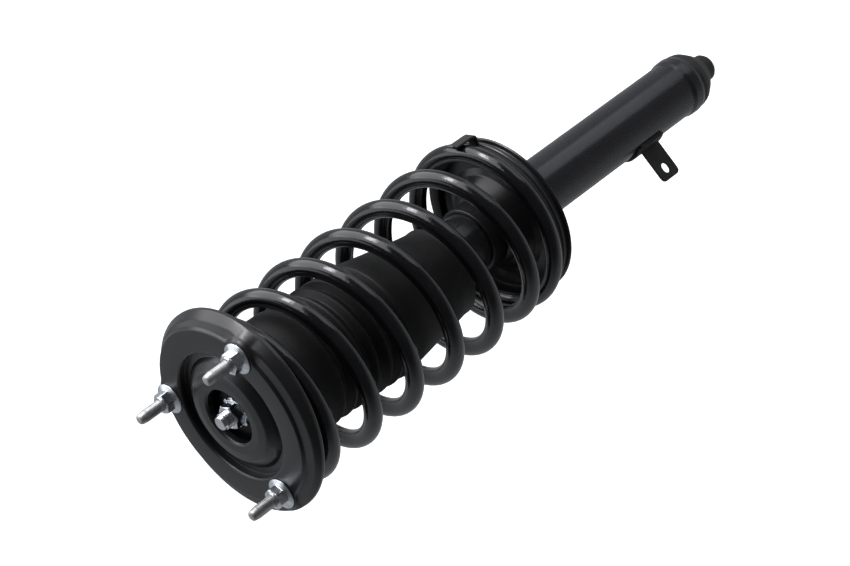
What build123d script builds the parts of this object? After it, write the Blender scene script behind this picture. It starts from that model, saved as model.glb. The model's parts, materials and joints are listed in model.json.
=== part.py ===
from build123d import *
import math
import os

# Strut assembly, millimetres. The Z axis is the strut's own axis, +Z points out through
# the mount studs, and Z = 0 is the flat upper face of the mount plate.

os.makedirs("parts", exist_ok=True)

# ---- clearances ------------------------------------------------------------------------
RUN_CLEAR = 0.05        # radial running clearance of sliding fits
SLIP_CLEAR = 0.1        # radial clearance of parts that are assembled and stay put
SEAT_GAP = 0.02         # axial gap between a part and the one it rests on when they turn
COIL_GAP = 0.1          # axial gap between the lower end coil and its pad

# ---- mount plate and studs -------------------------------------------------------------
PLATE_T = 3.0           # sheet thickness of the mount plate
FACE_R = 76.0           # outer radius of the flat stud face
OPENING_R = 55.0        # radius of the opening round the dome
LIP_DROP = 6.0          # height of the turned-down lip round the opening
STEP_H = 1.6            # step from the face to the shoulder
RIM_R = 86.0            # outer radius of the flared brim's sheet
RIM_X = 1.5             # centre of the brim, which is eccentric to the studs
RIM_Y = -4.6
RIM_Z = -7.5
RIM_TILT = 3.3          # tilt of the brim
RIM_LOW_AZ = -8.0       # direction in which the brim hangs lowest
RIM_BEAD_R = 2.1        # radius of the rolled edge
RIM_BEAD_OUT = 0.4      # how far the rolled edge stands out past the sheet
STUD_CIRCLE_R = 70.0    # radius of the stud circle
STUD_R = 5.0            # radius of the free thread
STUD_GRIP_R = 5.2       # radius of the fuller thread inside plate and nut
STUD_GRIP_OVER = 0.5    # length of the fuller thread past the nut
STUD_TIP_Z = 33.5       # height of the stud tips
STUD_COUNT = 3
STUD_FIRST_AZ = 90.0    # direction of the first stud
STUD_HEAD_R = 7.5       # pressed head under the plate
STUD_HEAD_H = 3.0
STUD_PAD_R = 14.5       # raised flat round each stud
STUD_PAD_FLARE = 4.0
NUT_FLANGE_R = 13.0     # flange of the stud nuts
NUT_FLANGE_H = 2.6
NUT_AF = 16.0           # width across flats of the stud nuts
NUT_H = 11.0

# ---- dome, cushion and base of the mount -----------------------------------------------
SHEET_T = 2.0           # sheet thickness of dome and base
CUP_FLANGE_R = 61.5
MOAT_Z = -7.0           # upper face of the groove round the dome
DOME_R = 48.0           # radius of the dome's foot
DOME_EDGE_Z = -3.0
DOME_HOLE_R = 23.5
DOME_TOP_Z = 1.5
DOME_LIP_Z = -5.0       # lower edge of the hole's turned-in lip
BASE_TOP_Z = -9.0       # upper face of the base flange
BASE_R = 75.0
BASE_CUP_R = 42.0
BASE_CUP_Z = -30.5
BASE_HOLE_R = 29.0

# ---- rod end ---------------------------------------------------------------------------
ROD_R = 10.0
ROD_TIP_R = 7.0         # threaded rod end
ROD_TIP_Z = 10.5
ROD_NUT_AF = 19.0
ROD_NUT_TOP_Z = 2.0
ROD_WASHER_Z = -6.0     # upper face of the lobed washer
ROD_WASHER_T = 2.0
SLEEVE_R = 12.5
SLEEVE_END_Z = -31.5
STOP_WASHER_R = 25.0
STOP_WASHER_T = 2.5
BUMP_STOP_R = 23.0
BUMP_STOP_END_Z = -99.0

# ---- coil spring -----------------------------------------------------------------------
COIL_R = 70.0           # mean coil radius
WIRE_R = 6.75
SPRING_TOP_Z = -13.5    # face the upper end coil bears on
SPRING_END_Z = -305.75  # face the lower end coil bears on
END_FLAT_LOW = 0.38     # turns lying flat on the lower pad
END_FLAT_TOP = 0.28     # turns lying flat on the upper pad
END_BLEND = 0.75        # turns from flat to full pitch
FREE_TURNS = 5.14       # turns at full pitch
SPRING_END_AZ = 115.0   # direction of the lower wire end
PAD_T = 3.75            # thickness of the lower rubber pad
PAD_IN_R = 60.0
UPPER_PAD_R = 75.5
LOWER_PAD_R = 71.0

# ---- dust boot -------------------------------------------------------------------------
BOOT_R = 52.0
BOOT_T = 1.8
PLEAT_TOP_Z = -72.0
PLEAT_COUNT = 6
PLEAT_PITCH = 12.6
PLEAT_DEPTH = 5.5
BOOT_END_Z = -232.0
BOOT_END_R = 38.5

# ---- damper ----------------------------------------------------------------------------
TUBE_R = 25.5
TUBE_T = 2.3
TUBE_TOP_Z = -225.0
TUBE_END_Z = -560.0
BEAD_R = 27.3           # rolled bead at the lower end
BEAD_L = 14.0
CAP_T = 2.5             # striker cap on top of the tube
CAP_SKIRT_L = 12.0
SEAL_H = 6.0
GUIDE_H = 12.0
GUIDE_SPIGOT_L = 9.0
CYL_R = 17.5            # inner cylinder
CYL_BORE_R = 16.0
PISTON_H = 16.0
BAND_H = 8.0
BAND_T = 1.2
REBOUND_GAP = 0.5       # rebound stop to guide when the strut is fully out
REBOUND_H = 16.0
ROD_TAIL_R = 6.0
PISTON_NUT_AF = 18.0
PISTON_NUT_H = 9.0
VALVE_H = 8.0
VALVE_SPIGOT_L = 7.0
PLUG_L = 11.0           # part of the end cap inside the tube
NUB_R = 11.2
NUB_END_Z = -596.0
CONE_END_Z = -582.0

# ---- lower spring seat -----------------------------------------------------------------
SEAT_T = 3.0
SEAT_R = 72.0
HUB_R = 28.6
HUB_TOP_Z = -274.0
SEAT_SKIRT_R = 67.5
SEAT_DEPTH = 11.5
TAB_AZ = 2.3
TAB_W = 10.0
TAB_TOP_Z = -285.0

# ---- hose bracket ----------------------------------------------------------------------
BRACKET_AZ = -146.0
BRACKET_Z = -488.0
BRACKET_W = 22.0
BRACKET_T = 2.6
BRACKET_REACH = 60.0    # distance of its outer edge from the strut's axis
BRACKET_HOLE_AT = 50.0
BRACKET_HOLE_R = 3.6
BRACKET_HOLE_L = 2.2    # extra length of the oblong hole
FOOT_L = 34.0
FOOT_ARC = 56.0


def turned(*points):
    """Solid of revolution about Z from a closed (radius, height) outline."""
    outline = Plane.XZ * Polyline(*points, close=True)
    return revolve(make_face(outline), axis=Axis.Z)


def ring(outer_r, inner_r, top, bottom):
    """Plain ring between two heights."""
    return turned((inner_r, top), (outer_r, top), (outer_r, bottom), (inner_r, bottom))


def disc(radius, top, bottom, at=(0.0, 0.0)):
    """Upright cylinder between two heights."""
    body = Cylinder(radius, top - bottom, align=(Align.CENTER, Align.CENTER, Align.MIN))
    return Pos(at[0], at[1], bottom) * body


def hexagon(across_flats, top, bottom, at=(0.0, 0.0)):
    """Hexagonal prism with its crests turned off."""
    corner_r = across_flats / math.sqrt(3.0)
    prism = extrude(RegularPolygon(corner_r, 6), top - bottom)
    crest = top - bottom
    drop = (corner_r - across_flats / 2.0) * 0.6
    cutter = turned((0.0, 0.0), (corner_r + 1.0, 0.0), (corner_r + 1.0, crest - drop - 0.6),
                    (across_flats / 2.0 - 0.2, crest), (0.0, crest))
    return Pos(at[0], at[1], bottom) * (prism & cutter)


def around(radius, azimuth):
    """XY point at a radius and direction from the axis."""
    a = math.radians(azimuth)
    return (radius * math.cos(a), radius * math.sin(a))


def stud_points():
    """Centres of the mount studs."""
    return [around(STUD_CIRCLE_R, STUD_FIRST_AZ + i * 360.0 / STUD_COUNT) for i in range(STUD_COUNT)]


def brim_plane(height):
    """Tilted plane through the brim's centre at a height."""
    a = math.radians(RIM_LOW_AZ)
    t = math.radians(RIM_TILT)
    normal = (math.sin(t) * math.cos(a), math.sin(t) * math.sin(a), math.cos(t))
    return Plane(origin=(RIM_X, RIM_Y, height), x_dir=(-math.sin(a), math.cos(a), 0), z_dir=normal)


def make_mount_plate():
    """Flat stud face, turned-down inner lip and tilted flared brim."""
    lip_r = OPENING_R + PLATE_T
    face = turned((OPENING_R, -LIP_DROP), (OPENING_R, -1.8), (OPENING_R + 1.8, 0.0), (FACE_R, 0.0),
                  (FACE_R + STEP_H, -STEP_H), (FACE_R + STEP_H, -PLATE_T - STEP_H),
                  (FACE_R - 1.0, -PLATE_T), (lip_r, -PLATE_T), (lip_r - 0.6, -LIP_DROP))
    top_r = FACE_R + STEP_H
    upper = brim_plane(RIM_Z)
    lower = brim_plane(RIM_Z - PLATE_T)
    outer = loft([Pos(0, 0, -STEP_H) * Circle(top_r), upper * Circle(RIM_R)], ruled=True)
    outer += loft([upper * Circle(RIM_R), lower * Circle(RIM_R)], ruled=True)
    root = Pos(0, 0, -STEP_H - PLATE_T) * Circle(top_r - 0.6)
    inner = loft([root, lower * Circle(RIM_R - 0.4)], ruled=True)
    core = disc(top_r - 1.2, RIM_R, -RIM_R)
    bead_r = RIM_R + RIM_BEAD_OUT - RIM_BEAD_R
    bead = brim_plane(RIM_Z - PLATE_T / 2.0) * Torus(bead_r, RIM_BEAD_R)
    below = disc(FACE_R - 1.0, -PLATE_T, -2.0 * RIM_R)
    above = upper * Box(3.0 * RIM_R, 3.0 * RIM_R, RIM_R, align=(Align.CENTER, Align.CENTER, Align.MIN))
    cap = disc(RIM_R - 0.6, RIM_R, -RIM_R, (RIM_X, RIM_Y)) & above
    plate = face + (outer - inner - core) + bead
    for x, y in stud_points():
        foot = Pos(x, y, 2.0 * RIM_Z) * Circle(STUD_PAD_R + STUD_PAD_FLARE)
        pad = loft([Pos(x, y, 0) * Circle(STUD_PAD_R), foot])
        plate += (pad & cap) - inner - below
    for x, y in stud_points():
        plate -= disc(STUD_GRIP_R + SLIP_CLEAR, 1.0, -PLATE_T - 1.0, (x, y))
        plate -= disc(STUD_HEAD_R + 0.2, -PLATE_T, -PLATE_T - STUD_HEAD_H - 1.5, (x, y))
    return plate


def make_mount_cup():
    """Domed cover of the mount with a groove round it and a central hole."""
    t = SHEET_T
    inner_r = OPENING_R - SLIP_CLEAR
    shoulder_z = (DOME_EDGE_Z + DOME_TOP_Z) / 2.0 + 0.9
    shoulder_r = DOME_R - 5.0
    flange_z = -LIP_DROP
    return turned((CUP_FLANGE_R, flange_z), (CUP_FLANGE_R, flange_z - t), (OPENING_R, BASE_TOP_Z),
                  (DOME_R - 2.5, BASE_TOP_Z), (DOME_R - 2.5, DOME_EDGE_Z - 1.0),
                  (shoulder_r - 0.8, shoulder_z - t), (DOME_HOLE_R + 4.0, DOME_TOP_Z - t),
                  (DOME_HOLE_R + t, DOME_TOP_Z - t - 1.0), (DOME_HOLE_R + t, DOME_LIP_Z),
                  (DOME_HOLE_R, DOME_LIP_Z), (DOME_HOLE_R, DOME_TOP_Z - 1.4),
                  (DOME_HOLE_R + 1.6, DOME_TOP_Z), (DOME_HOLE_R + 6.0, DOME_TOP_Z),
                  (shoulder_r, shoulder_z), (DOME_R - 1.2, DOME_EDGE_Z + 1.0),
                  (DOME_R, DOME_EDGE_Z - 0.8), (DOME_R, MOAT_Z), (inner_r, MOAT_Z),
                  (inner_r, flange_z - 0.2), (inner_r + 0.6, flange_z))


def make_mount_cushion():
    """Rubber ring between plate and base, with pockets for the stud heads."""
    top = -PLATE_T
    cushion = ring(BASE_R - 5.0, CUP_FLANGE_R + 0.5, top, BASE_TOP_Z)
    for x, y in stud_points():
        cushion -= disc(STUD_HEAD_R + 0.2, top + 1.0, top - STUD_HEAD_H, (x, y))
    return cushion


def make_mount_base():
    """Lower pressing of the mount: flange for the spring pad and a cup for the bushing."""
    t = SHEET_T
    return turned((BASE_CUP_R, BASE_TOP_Z), (BASE_R, BASE_TOP_Z), (BASE_R, BASE_TOP_Z - t),
                  (BASE_CUP_R + t, BASE_TOP_Z - t), (BASE_CUP_R + t, BASE_CUP_Z + 1.5),
                  (BASE_CUP_R + t - 1.5, BASE_CUP_Z), (BASE_HOLE_R, BASE_CUP_Z),
                  (BASE_HOLE_R, BASE_CUP_Z + t), (BASE_CUP_R, BASE_CUP_Z + t))


def make_mount_bushing():
    """Rubber bushing that carries the rod sleeve."""
    top = BASE_TOP_Z
    low = BASE_CUP_Z + SHEET_T
    bore = SLEEVE_R + RUN_CLEAR
    rim = BASE_CUP_R - SLIP_CLEAR
    return turned((bore, top), (rim - 2.0, top), (rim, top - 2.0), (rim, low), (BASE_HOLE_R - 3.0, low),
                  (SLEEVE_R + 5.0, low + 5.0), (bore, low + 1.0))


def make_piston_rod():
    """Rod with a threaded top end, a chamfered tip and a piston tail."""
    shoulder = SLEEVE_END_Z - STOP_WASHER_T
    tail = rod_tail_top()
    end = tail - PISTON_H - PISTON_NUT_H - 2.0
    return turned((0.0, ROD_TIP_Z), (ROD_TIP_R - 2.2, ROD_TIP_Z), (ROD_TIP_R - 1.0, ROD_TIP_Z - 1.2),
                  (ROD_TIP_R - 1.0, ROD_TIP_Z - 4.0), (ROD_TIP_R, ROD_TIP_Z - 5.0), (ROD_TIP_R, shoulder),
                  (ROD_R, shoulder), (ROD_R, tail), (ROD_TAIL_R, tail), (ROD_TAIL_R, end + 1.0),
                  (ROD_TAIL_R - 1.0, end), (0.0, end))


def make_rod_washer():
    """Star washer with rounded lobes under the rod nut."""
    top = ROD_WASHER_Z
    low = top - ROD_WASHER_T
    washer = disc(ROD_NUT_AF / 2.0 + 1.5, top, low)
    for i in range(8):
        washer += disc(2.2, top, low, around(ROD_NUT_AF / 2.0 + 1.9, i * 45.0))
    return washer - disc(ROD_TIP_R + SLIP_CLEAR, top + 1.0, low - 1.0)


def make_bump_stop():
    """Foam bump stop with two waists."""
    top = SLEEVE_END_Z - STOP_WASHER_T
    low = BUMP_STOP_END_Z
    step = (top - low) / 8.0
    r = BUMP_STOP_R
    bore = ROD_R + 0.3
    return turned((bore, top), (r, top), (r, top - step), (r - 4.0, top - 2.0 * step),
                  (r - 1.0, top - 3.0 * step), (r - 1.0, top - 4.0 * step), (r - 6.0, top - 5.0 * step),
                  (r - 3.0, top - 6.0 * step), (r - 5.0, top - 7.2 * step), (r - 9.0, low), (bore, low))


def make_studs():
    """Three studs with pressed heads and reduced dog points."""
    studs = []
    for x, y in stud_points():
        head_top = -PLATE_T
        body = turned((0.0, STUD_TIP_Z), (STUD_R - 2.2, STUD_TIP_Z), (STUD_R - 1.1, STUD_TIP_Z - 1.2),
                      (STUD_R - 1.1, STUD_TIP_Z - 4.5), (STUD_R, STUD_TIP_Z - 6.0),
                      (STUD_R, NUT_H + STUD_GRIP_OVER), (STUD_GRIP_R, NUT_H + STUD_GRIP_OVER),
                      (STUD_GRIP_R, head_top),
                      (STUD_HEAD_R, head_top), (STUD_HEAD_R, head_top - STUD_HEAD_H),
                      (0.0, head_top - STUD_HEAD_H))
        studs.append(Pos(x, y, 0) * body)
    return Compound(children=studs)


def make_stud_nuts():
    """Three flanged hexagon nuts."""
    nuts = []
    for x, y in stud_points():
        crown = NUT_FLANGE_H + 0.8
        flange = turned((0.0, 0.0), (NUT_FLANGE_R, 0.0), (NUT_FLANGE_R, 1.2), (NUT_AF / 2.0, crown),
                        (0.0, crown))
        nut = flange + hexagon(NUT_AF, NUT_H, 1.0)
        nut -= disc(STUD_GRIP_R + SLIP_CLEAR, NUT_H + 1.0, -1.0)
        nuts.append(Pos(x, y, 0) * nut)
    return Compound(children=nuts)


def spring_height(turns):
    """Height of the wire's centre after a number of turns from the lower end."""
    low = SPRING_END_Z + WIRE_R
    rise = SPRING_TOP_Z - WIRE_R - low
    pitch = rise / (FREE_TURNS + END_BLEND)
    start = turns - END_FLAT_LOW
    if start <= 0.0:
        return low
    if start <= END_BLEND:
        return low + pitch * start * start / (2.0 * END_BLEND)
    if start <= END_BLEND + FREE_TURNS:
        return low + pitch * (start - END_BLEND / 2.0)
    left = max(0.0, 2.0 * END_BLEND + FREE_TURNS - start)
    return low + rise - pitch * left * left / (2.0 * END_BLEND)


def make_coil_spring():
    """Right-hand coil spring whose end turns lie flat."""
    total = END_FLAT_LOW + 2.0 * END_BLEND + FREE_TURNS + END_FLAT_TOP
    count = int(total * 16)
    path = []
    for i in range(count + 1):
        turns = total * i / count
        x, y = around(COIL_R, SPRING_END_AZ + turns * 360.0)
        path.append((x, y, spring_height(turns)))
    wire = Spline(*path)
    section = Plane(origin=wire @ 0, z_dir=wire % 0) * Circle(WIRE_R)
    return sweep(section, path=wire)


def pad_top():
    """Face under the mount base on which the upper pad and the boot's lip turn."""
    return BASE_TOP_Z - SHEET_T - SEAT_GAP


def boot_outline(inset):
    """Outline of the boot from its top to its open lower end."""
    r = BOOT_R - inset
    points = [(r, pad_top()), (r, PLEAT_TOP_Z)]
    for i in range(PLEAT_COUNT):
        z = PLEAT_TOP_Z - i * PLEAT_PITCH
        points.append((r - PLEAT_DEPTH, z - PLEAT_PITCH * 0.45))
        points.append((r - PLEAT_DEPTH, z - PLEAT_PITCH * 0.55))
        points.append((r - 0.3, z - PLEAT_PITCH))
    points.append((BOOT_END_R - inset, BOOT_END_Z))
    return points


def make_dust_boot():
    """Rubber boot: plain neck, pleats and an open tapering skirt."""
    outside = boot_outline(0.0)
    inside = boot_outline(BOOT_T)
    lip_r = BOOT_R + 5.0
    lip_low = pad_top() - BOOT_T
    lip = [(lip_r, pad_top()), (lip_r, lip_low), (BOOT_R, lip_low)]
    return turned(*lip, *outside[1:], *reversed(inside))


def make_upper_pad():
    """Rubber pad between the mount base and the upper end coil."""
    return ring(UPPER_PAD_R, PAD_IN_R, pad_top(), SPRING_TOP_Z)


def make_lower_pad():
    """Rubber pad under the lower end coil."""
    return ring(LOWER_PAD_R, PAD_IN_R, SPRING_END_Z - COIL_GAP, SPRING_END_Z - PAD_T)


def make_strut_tube():
    """Outer tube with a rolled bead at its lower end."""
    inner = TUBE_R - TUBE_T
    top_bead = TUBE_END_Z + BEAD_L
    return turned((inner, TUBE_TOP_Z), (TUBE_R, TUBE_TOP_Z), (TUBE_R, top_bead), (BEAD_R, top_bead - 6.0),
                  (BEAD_R, TUBE_END_Z + 2.0), (BEAD_R - 1.6, TUBE_END_Z), (inner, TUBE_END_Z))


def make_tube_cap():
    """Striker cap pressed over the top of the tube."""
    top = TUBE_TOP_Z + CAP_T
    inner = TUBE_R + SLIP_CLEAR
    outer = inner + 1.6
    low = TUBE_TOP_Z - CAP_SKIRT_L
    return turned((ROD_R + 1.0, top), (outer - 1.2, top), (outer, top - 1.2), (outer, low),
                  (inner, low), (inner, TUBE_TOP_Z), (ROD_R + 1.0, TUBE_TOP_Z))


def make_rod_seal():
    """Oil seal between the cap and the rod guide."""
    bore = ROD_R + RUN_CLEAR
    outer = TUBE_R - TUBE_T - SLIP_CLEAR
    return ring(outer, bore, TUBE_TOP_Z, TUBE_TOP_Z - SEAL_H)


def make_rod_guide():
    """Rod guide with a spigot that centres the inner cylinder."""
    bore = ROD_R + RUN_CLEAR
    top = TUBE_TOP_Z - SEAL_H
    low = top - GUIDE_H
    spigot = CYL_BORE_R - SLIP_CLEAR
    outer = TUBE_R - TUBE_T - SLIP_CLEAR
    return turned((bore, top), (outer, top), (outer, low), (spigot, low), (spigot, low - GUIDE_SPIGOT_L),
                  (bore, low - GUIDE_SPIGOT_L))


def guide_low():
    """Lower face of the rod guide's flange."""
    return TUBE_TOP_Z - SEAL_H - GUIDE_H


def rod_tail_top():
    """Shoulder of the rod on which the piston seats."""
    return guide_low() - GUIDE_SPIGOT_L - REBOUND_GAP - REBOUND_H


def plug_top():
    """Inner face of the end cap."""
    return TUBE_END_Z + PLUG_L


def make_inner_cylinder():
    """Cylinder in which the piston runs."""
    return ring(CYL_R, CYL_BORE_R, guide_low(), plug_top() + VALVE_H)


def make_base_valve():
    """Foot valve between the inner cylinder and the end cap."""
    low = plug_top()
    top = low + VALVE_H
    spigot = CYL_BORE_R - SLIP_CLEAR
    valve = turned((0.0, top + VALVE_SPIGOT_L), (spigot, top + VALVE_SPIGOT_L), (spigot, top), (CYL_R, top),
                   (CYL_R, low), (0.0, low))
    for i in range(6):
        valve -= disc(1.5, top + VALVE_SPIGOT_L + 1.0, low - 1.0, around(spigot * 0.6, i * 60.0))
    return valve


def make_piston():
    """Piston with a groove for its band and axial oil ports."""
    top = rod_tail_top()
    low = top - PISTON_H
    bore = ROD_TAIL_R + SLIP_CLEAR
    crown = CYL_BORE_R - 0.4
    groove = CYL_BORE_R - RUN_CLEAR - BAND_T - RUN_CLEAR
    band_top = top - (PISTON_H - BAND_H) / 2.0
    band_low = band_top - BAND_H
    piston = turned((bore, top), (crown, top), (crown, band_top), (groove, band_top),
                    (groove, band_low), (crown, band_low), (crown, low), (bore, low))
    for i in range(6):
        piston -= disc(1.4, top + 1.0, low - 1.0, around(12.0, i * 60.0))
    return piston


def make_piston_band():
    """Low-friction band round the piston."""
    top = rod_tail_top() - (PISTON_H - BAND_H) / 2.0
    outer = CYL_BORE_R - RUN_CLEAR
    return ring(outer, outer - BAND_T, top, top - BAND_H)


def make_piston_nut():
    """Nut that clamps the piston to the rod."""
    top = rod_tail_top() - PISTON_H
    nut = hexagon(PISTON_NUT_AF, top, top - PISTON_NUT_H)
    return nut - disc(ROD_TAIL_R + SLIP_CLEAR, top + 1.0, top - PISTON_NUT_H - 1.0)


def make_rebound_stop():
    """Collar on the rod that meets the guide when the strut is fully out."""
    top = rod_tail_top() + REBOUND_H
    return ring(CYL_BORE_R - 1.2, ROD_R + SLIP_CLEAR, top, top - REBOUND_H)


def make_end_cap():
    """Plug, cone and locating nub that close the tube."""
    inner = TUBE_R - TUBE_T - SLIP_CLEAR
    lip = BEAD_R - 2.2
    return turned((0.0, plug_top()), (inner, plug_top()), (inner, TUBE_END_Z), (lip, TUBE_END_Z),
                  (lip - 0.6, TUBE_END_Z - 3.0), (NUB_R + 2.6, CONE_END_Z), (NUB_R, CONE_END_Z - 1.6),
                  (NUB_R, NUB_END_Z + 3.0), (NUB_R - 3.0, NUB_END_Z), (0.0, NUB_END_Z))


def seat_floor():
    """Upper face of the seat under the lower pad."""
    return SPRING_END_Z - PAD_T


def make_spring_seat():
    """Pressed seat: hub, flared floor, double-lipped rim and the spring stop tab."""
    t = SEAT_T
    bore = TUBE_R + SLIP_CLEAR
    floor = seat_floor()
    low = floor - SEAT_DEPTH
    bend = floor + 12.0
    shell = turned((bore, HUB_TOP_Z), (HUB_R, HUB_TOP_Z), (HUB_R, bend + 8.0), (HUB_R + 5.0, bend),
                   (PAD_IN_R - 14.0, floor), (SEAT_R - 1.0, floor), (SEAT_R, floor - 1.0),
                   (SEAT_R, floor - t + 0.8), (SEAT_R - 1.0, floor - t), (SEAT_SKIRT_R, floor - t - 1.0),
                   (SEAT_SKIRT_R, low + t), (SEAT_R - 1.5, low + t - 0.8), (SEAT_R - 0.5, low + 1.0),
                   (SEAT_R - 1.5, low), (SEAT_SKIRT_R - t, low), (SEAT_SKIRT_R - t, floor - t),
                   (PAD_IN_R - 15.0, floor - t), (HUB_R + 2.0, bend - 4.0), (HUB_R + 1.0, floor - 6.0),
                   (bore, floor - 8.0))
    foot = Box(14.0, TAB_W, t, align=(Align.MIN, Align.CENTER, Align.MAX))
    wall = Box(2.4, TAB_W, TAB_TOP_Z - floor + t, align=(Align.MAX, Align.CENTER, Align.MIN))
    fold = Box(3.0, TAB_W, 2.4, align=(Align.MIN, Align.CENTER, Align.MAX))
    tip_r = COIL_R + WIRE_R + 4.0
    tab = Pos(tip_r - 14.0, 0, floor) * foot + Pos(tip_r, 0, floor - t) * wall
    tab += Pos(tip_r - 1.0, 0, TAB_TOP_Z) * fold
    return shell + Rot(0, 0, TAB_AZ) * tab


def make_hose_bracket():
    """L bracket: curved foot on the tube and a flat plate with an oblong hole."""
    inner = TUBE_R + SLIP_CLEAR
    low = BRACKET_Z - BRACKET_W / 2.0
    foot = ring(inner + BRACKET_T, inner, low + FOOT_L, low)
    half = FOOT_ARC / 2.0
    reach = TUBE_R * 2.0
    corners = [(0.0, 0.0), around(reach, -half), around(reach, 0.0), around(reach, half)]
    wedge = make_face(Polyline(*corners, close=True))
    foot &= Pos(0, 0, BRACKET_Z - FOOT_L) * extrude(wedge, 2.0 * FOOT_L)
    start = TUBE_R + 1.0
    length = BRACKET_REACH - start
    plate = Box(length, BRACKET_T, BRACKET_W, align=(Align.MIN, Align.CENTER, Align.CENTER))
    outer = plate.edges().filter_by(Axis.Y).group_by(Axis.X)[-1]
    plate = Pos(start, 0, BRACKET_Z) * fillet(outer, 4.5)
    slot = extrude(SlotCenterToCenter(BRACKET_HOLE_L, 2.0 * BRACKET_HOLE_R), BRACKET_T * 4.0, both=True)
    plate -= Pos(BRACKET_HOLE_AT, 0, BRACKET_Z) * Rot(90, 0, 0) * slot
    return Rot(0, 0, BRACKET_AZ) * (foot + plate)


def build_all():
    """Every node of the assembly by name."""
    sleeve_top = ROD_WASHER_Z - ROD_WASHER_T
    sleeve = ring(SLEEVE_R, ROD_TIP_R + SLIP_CLEAR, sleeve_top, SLEEVE_END_Z)
    stop = ring(STOP_WASHER_R, ROD_TIP_R + SLIP_CLEAR, SLEEVE_END_Z, SLEEVE_END_Z - STOP_WASHER_T)
    rod_nut = hexagon(ROD_NUT_AF, ROD_NUT_TOP_Z, ROD_WASHER_Z)
    rod_nut -= disc(ROD_TIP_R + SLIP_CLEAR, ROD_NUT_TOP_Z + 1.0, ROD_WASHER_Z - 1.0)
    return {
        "mount_plate": make_mount_plate(),
        "mount_cup": make_mount_cup(),
        "mount_cushion": make_mount_cushion(),
        "mount_base": make_mount_base(),
        "mount_bushing": make_mount_bushing(),
        "mount_studs": make_studs(),
        "stud_nuts": make_stud_nuts(),
        "rod_sleeve": sleeve,
        "rod_nut": rod_nut,
        "rod_washer": make_rod_washer(),
        "stop_washer": stop,
        "piston_rod": make_piston_rod(),
        "piston": make_piston(),
        "piston_band": make_piston_band(),
        "piston_nut": make_piston_nut(),
        "rebound_stop": make_rebound_stop(),
        "bump_stop": make_bump_stop(),
        "upper_pad": make_upper_pad(),
        "coil_spring": make_coil_spring(),
        "dust_boot": make_dust_boot(),
        "strut_tube": make_strut_tube(),
        "tube_cap": make_tube_cap(),
        "rod_seal": make_rod_seal(),
        "rod_guide": make_rod_guide(),
        "inner_cylinder": make_inner_cylinder(),
        "base_valve": make_base_valve(),
        "end_cap": make_end_cap(),
        "spring_seat": make_spring_seat(),
        "lower_pad": make_lower_pad(),
        "hose_bracket": make_hose_bracket(),
    }


for name, shape in build_all().items():
    export_step(shape, f"parts/{name}.step")
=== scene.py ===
import json
import math

import bmesh
import bpy
from mathutils import Matrix, Vector, noise


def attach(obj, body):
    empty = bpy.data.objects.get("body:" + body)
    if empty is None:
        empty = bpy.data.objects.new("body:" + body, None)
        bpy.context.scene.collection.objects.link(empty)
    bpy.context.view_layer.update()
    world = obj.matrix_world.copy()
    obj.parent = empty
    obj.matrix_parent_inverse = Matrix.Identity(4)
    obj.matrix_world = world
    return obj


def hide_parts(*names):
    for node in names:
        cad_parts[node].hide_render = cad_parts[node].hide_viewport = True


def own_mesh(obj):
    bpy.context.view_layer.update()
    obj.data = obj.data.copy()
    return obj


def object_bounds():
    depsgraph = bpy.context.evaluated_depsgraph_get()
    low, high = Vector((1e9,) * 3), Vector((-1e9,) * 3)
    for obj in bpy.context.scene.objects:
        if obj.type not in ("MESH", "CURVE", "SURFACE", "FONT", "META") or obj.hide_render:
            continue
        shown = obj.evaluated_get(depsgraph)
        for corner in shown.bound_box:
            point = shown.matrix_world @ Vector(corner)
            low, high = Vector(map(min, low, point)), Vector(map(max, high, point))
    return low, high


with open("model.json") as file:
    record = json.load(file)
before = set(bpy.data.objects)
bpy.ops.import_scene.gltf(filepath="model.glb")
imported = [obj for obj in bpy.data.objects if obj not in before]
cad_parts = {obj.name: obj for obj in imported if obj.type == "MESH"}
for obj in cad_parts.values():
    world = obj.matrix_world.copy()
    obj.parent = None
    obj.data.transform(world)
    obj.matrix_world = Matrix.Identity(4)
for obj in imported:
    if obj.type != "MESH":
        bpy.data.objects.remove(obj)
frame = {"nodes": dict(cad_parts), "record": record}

CAD_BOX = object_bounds()
NODES = frame["nodes"]
MM = 0.001
TAU = 2.0 * math.pi

# ---- sizes in millimetres and degrees; Z = 0 is the mount's stud face ------------------------
STUD_CIRCLE_R = 70.0
STUD_FIRST_AZ = 90.0
STUD_R = 5.0
STUD_TIP_Z = 33.5
STUD_THREAD_END_Z = 27.4
STUD_THREAD_DEPTH = 0.14
STUD_BORE_R = 5.25
THREAD_PITCH = 1.5
THREAD_STEPS = 8
STUD_PAD_R = 14.5
NUT_H = 11.0
NUT_AF = 16.0
NUT_FLANGE_R = 13.0
NUT_TURNS = (0.32, 0.86, 0.62)
FACE_R = 76.0
OPENING_R = 55.0
RIM_R = 86.4
RIM_X, RIM_Y, RIM_Z = 1.5, -4.6, -7.5
RIM_TILT = 3.3
RIM_LOW_AZ = -8.0
ROD_R = 10.0
ROD_TIP_R = 7.0
ROD_THREAD_DEPTH = 0.4
ROD_NUT_AF = 19.0
ROD_NUT_TURN = 0.4
WASHER_R = 11.6
WASHER_LOBE = 1.9
WASHER_LOBES = 8
COIL_R = 70.0
WIRE_R = 6.75
WIRE_SKIN_R = 7.45
SPRING_TOP_Z = -13.5
SPRING_END_Z = -305.75
SPRING_END_AZ = 115.0
END_FLAT_LOW = 0.38
END_FLAT_TOP = 0.28
END_BLEND = 0.75
FREE_TURNS = 5.14
SPRING_TURNS = END_FLAT_LOW + 2.0 * END_BLEND + FREE_TURNS + END_FLAT_TOP
SAG_AZ = -145.6
COIL_SAG = 3.6
BOOT_SAG = 6.0
BOOT_R = 52.0
BOOT_TOP_Z = -11.02
BOOT_T = 1.8
BOOT_END_Z = -232.0
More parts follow.
